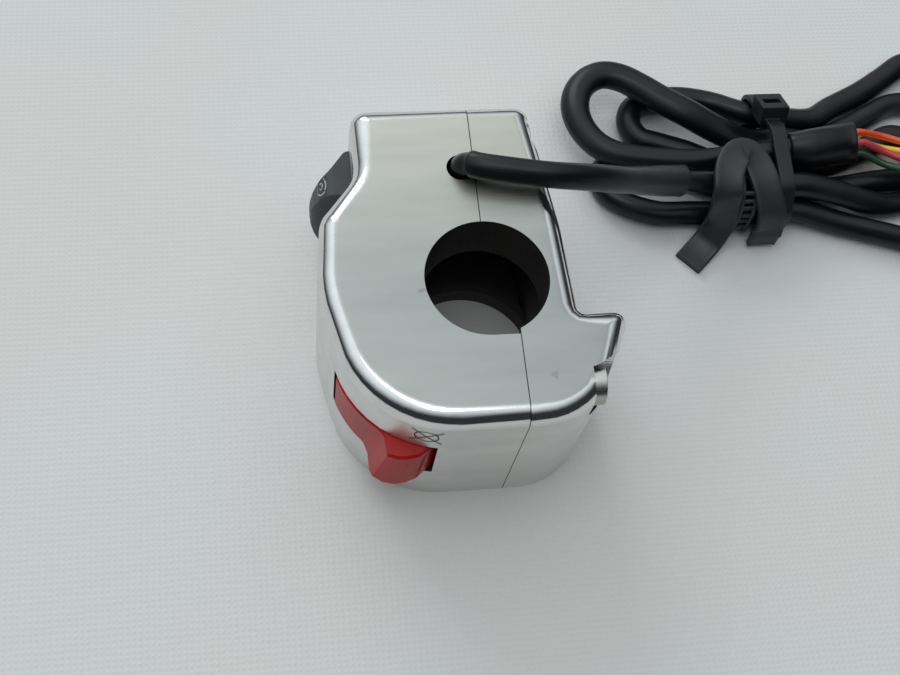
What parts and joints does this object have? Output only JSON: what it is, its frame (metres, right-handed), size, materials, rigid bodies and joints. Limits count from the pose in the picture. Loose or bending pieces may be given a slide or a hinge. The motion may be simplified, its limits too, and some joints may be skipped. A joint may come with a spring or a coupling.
{
  "type": "handlebar switch cluster",
  "caption": "Right-hand motorcycle handlebar switch cluster: split cast housing that clamps a bar, with an engine-stop rocker, a start push button and a sleeved wiring harness",
  "frame": {"origin": "on the bar axis, in the plane of the outboard end face that the cluster stands on", "axes": "+Z along the bar to the inboard face, +X to the front of the motorbike, +Y down towards the road when fitted"},
  "size_m": [0.172, 0.1122, 0.05],
  "materials": {
    "cast_aluminium": "polished edge and brushed face",
    "zinc_screw": "zinc plated",
    "steel": "bright",
    "red_plastic": "satin",
    "grey_plastic": "satin",
    "black_plastic": "moulded",
    "contact_brass": "plain",
    "lead_white": "satin",
    "black_pvc": "soft gloss",
    "black_nylon": "satin",
    "strap_plastic": "satin",
    "wire_orange": "satin",
    "wire_yellow": "satin",
    "wire_red": "satin",
    "wire_green": "satin",
    "plug_white": "moulded"
  },
  "bodies": {
    "housing": {"rear_housing": "cast_aluminium", "front_housing": "cast_aluminium", "housing_screws": "zinc_screw", "stop_pivot_pin": "steel", "stop_switch_base": "black_plastic", "stop_base_screws": "zinc_screw", "stop_fixed_contacts": "contact_brass", "stop_leads": "lead_white", "start_return_spring": "steel", "start_switch_base": "black_plastic", "start_base_screws": "zinc_screw", "start_fixed_contacts": "contact_brass", "start_leads": "wire_yellow", "sleeve_tie": "black_nylon", "harness_sleeve": "black_pvc", "harness_hank": "black_pvc", "cable_tie": "black_nylon", "wiring_strap": "strap_plastic", "branch_sleeve": "black_pvc", "orange_wire": "wire_orange", "yellow_wire": "wire_yellow", "red_wire": "wire_red", "green_wire": "wire_green", "plug_housing": "plug_white", "plug_terminals": "contact_brass"},
    "stop_rocker": {"stop_rocker": "red_plastic", "stop_detent_ball": "steel", "stop_detent_spring": "steel", "stop_moving_contact": "contact_brass"},
    "start_button": {"start_button": "grey_plastic", "start_moving_contact": "contact_brass"}
  },
  "joints": [
    {"name": "stop_rock", "type": "hinge", "parent": "housing", "child": "stop_rocker", "pos_m": [-0.01833, -0.01918, 0.0215], "axis": [0, 0, 1], "range_deg": [0, 14]},
    {"name": "start_press", "type": "slide", "parent": "housing", "child": "start_button", "axis": [1, 0, 0], "range_m": [0, 0.002], "stiffness_N_per_m": 800, "springref_m": -0.002, "deforming": ["start_return_spring"]}
  ]
}
